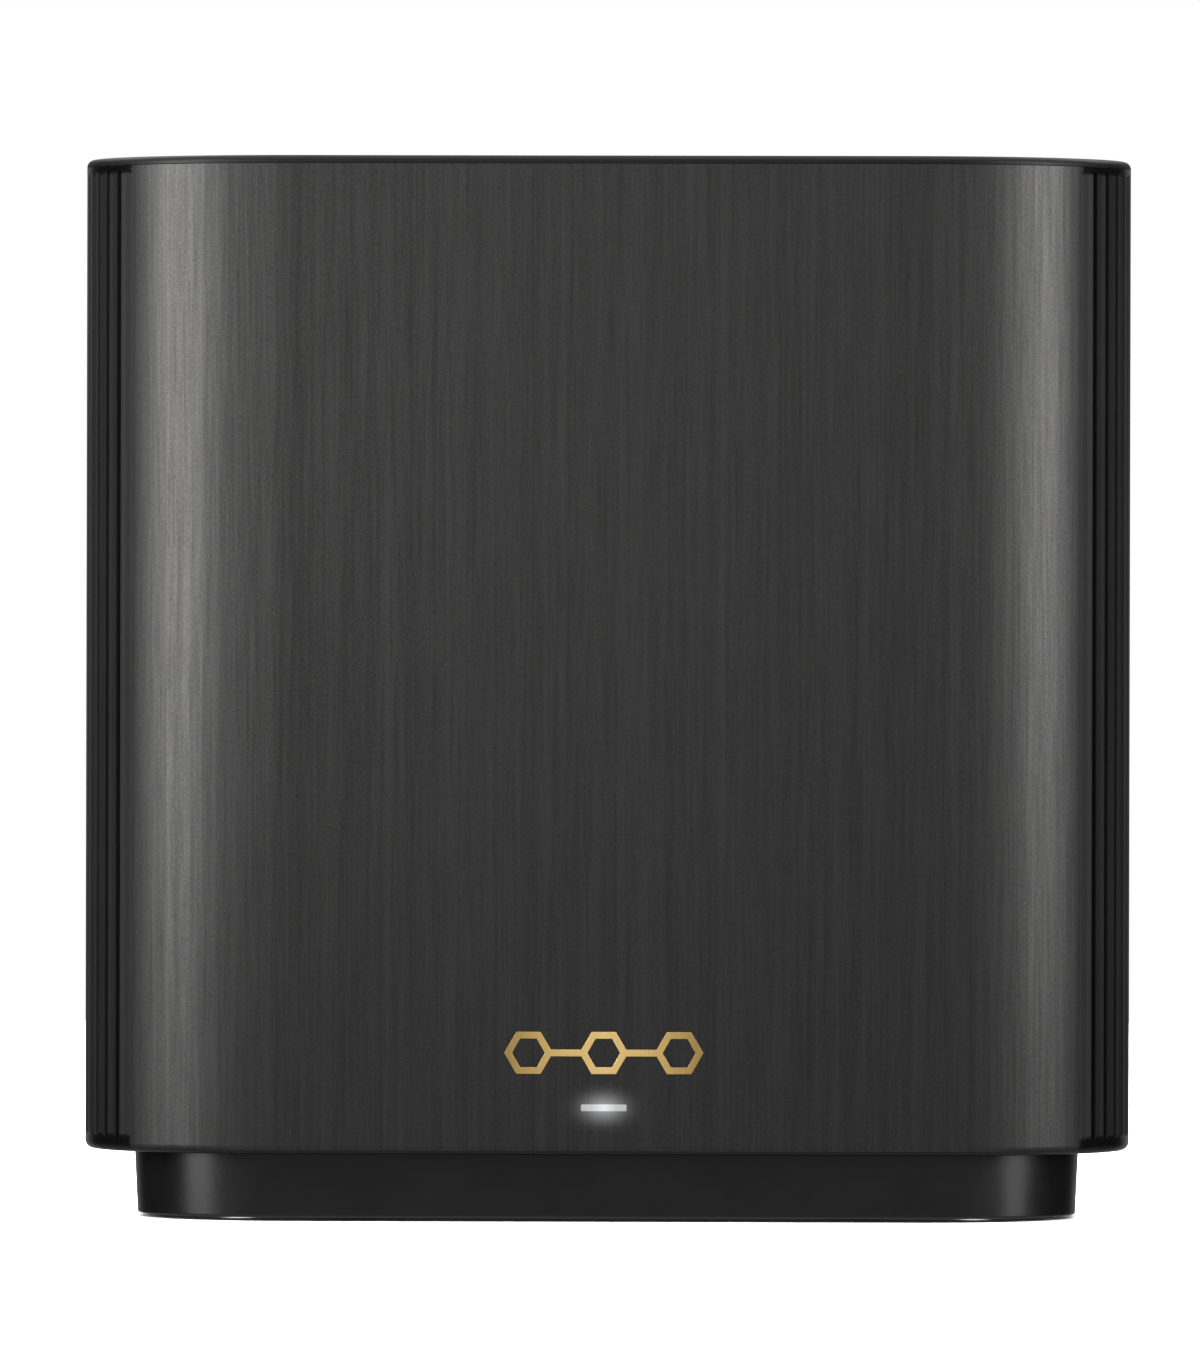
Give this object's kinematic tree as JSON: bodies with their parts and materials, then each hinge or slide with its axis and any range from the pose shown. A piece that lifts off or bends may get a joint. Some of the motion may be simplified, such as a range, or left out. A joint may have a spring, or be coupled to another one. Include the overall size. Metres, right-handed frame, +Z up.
{
  "type": "mesh wifi node",
  "caption": "Upright rounded-oblong tabletop wifi node with a smooth brushed front, ribbed sides and rear, rear port bay, front light bar and recessed base.",
  "frame": {"origin": "middle of the bounding box's underside, on the surface the rubber feet stand on", "axes": "+Z up; the smooth front panel faces -Y; the port bay faces +Y; +X is to the right seen from the front"},
  "size_m": [0.16, 0.075, 0.1615],
  "materials": {
    "cover_gloss": "near-black semi-gloss moulding with a bright rounded rim",
    "panel_gunmetal": "dark gunmetal film with fine vertical brush lines and a soft sheen",
    "shell_plastic": "dark grey fine-textured moulding, satin on the rib tops",
    "base_gloss": "near-black smooth moulding, semi-gloss",
    "bottom_plastic": "black fine-textured moulding",
    "foot_rubber": "soft black rubber, matt",
    "screw_steel": "plated steel",
    "emblem_gold": "satin gold-coloured trim",
    "indicator_light": "frosted white light pipe, lit",
    "circuit_board": "green solder mask with printed tracks",
    "port_plastic": "black moulded plastic",
    "wan_plastic": "blue moulded plastic",
    "port_steel": "tinned steel sheet",
    "button_plastic": "grey moulded plastic",
    "switch_plastic": "black moulded plastic",
    "frame_plastic": "grey moulded plastic",
    "sink_aluminium": "bare extruded aluminium",
    "chip_plastic": "black epoxy chip package",
    "pad_rubber": "soft blue-grey thermal pad",
    "antenna_brass": "stamped brass",
    "lead_plastic": "black jacketed coaxial lead"
  },
  "bodies": {
    "housing": {"top_cover": "cover_gloss", "front_panel": "panel_gunmetal", "rear_shell": "shell_plastic", "lower_tray": "shell_plastic", "base_plinth": "base_gloss", "bottom_plate": "bottom_plastic", "rubber_foot_1": "foot_rubber", "rubber_foot_2": "foot_rubber", "rubber_foot_3": "foot_rubber", "rubber_foot_4": "foot_rubber", "base_screw_1": "screw_steel", "base_screw_2": "screw_steel", "base_screw_3": "screw_steel", "base_screw_4": "screw_steel", "board_screw_1": "screw_steel", "board_screw_2": "screw_steel", "board_screw_3": "screw_steel", "board_screw_4": "screw_steel", "front_emblem": "emblem_gold", "light_pipe": "indicator_light", "led_board": "circuit_board", "main_board": "circuit_board", "io_panel": "port_plastic", "lan_jack_1": "port_plastic", "lan_jack_2": "port_plastic", "lan_jack_3": "port_plastic", "dc_jack": "port_plastic", "usb_tongue": "port_plastic", "wan_jack": "wan_plastic", "usb_shell": "port_steel", "rf_shield_1": "port_steel", "rf_shield_2": "port_steel", "power_switch": "switch_plastic", "wps_switch": "switch_plastic", "reset_switch": "switch_plastic", "inner_frame": "frame_plastic", "heat_sink": "sink_aluminium", "rear_heat_spreader": "sink_aluminium", "processor": "chip_plastic", "radio_chip_1": "chip_plastic", "radio_chip_2": "chip_plastic", "memory_chip": "chip_plastic", "thermal_pad_1": "pad_rubber", "thermal_pad_2": "pad_rubber", "thermal_pad_3": "pad_rubber", "antenna_1": "antenna_brass", "antenna_2": "antenna_brass", "antenna_3": "antenna_brass", "antenna_4": "antenna_brass", "antenna_5": "antenna_brass", "antenna_6": "antenna_brass", "antenna_lead_1": "lead_plastic", "antenna_lead_2": "lead_plastic", "antenna_lead_3": "lead_plastic", "antenna_lead_4": "lead_plastic", "antenna_lead_5": "lead_plastic", "antenna_lead_6": "lead_plastic"},
    "power_button": {"power_button": "button_plastic"},
    "wps_button": {"wps_button": "button_plastic"},
    "reset_stem": {"reset_stem": "button_plastic"}
  },
  "joints": [
    {"name": "power_press", "type": "slide", "parent": "housing", "child": "power_button", "axis": [0, -1, 0], "range_m": [0, 0.0015], "stiffness_N_per_m": 800},
    {"name": "wps_press", "type": "slide", "parent": "housing", "child": "wps_button", "axis": [0, -1, 0], "range_m": [0, 0.0005], "stiffness_N_per_m": 2000},
    {"name": "reset_press", "type": "slide", "parent": "housing", "child": "reset_stem", "axis": [0, -1, 0], "range_m": [0, 0.0003], "stiffness_N_per_m": 3000}
  ]
}
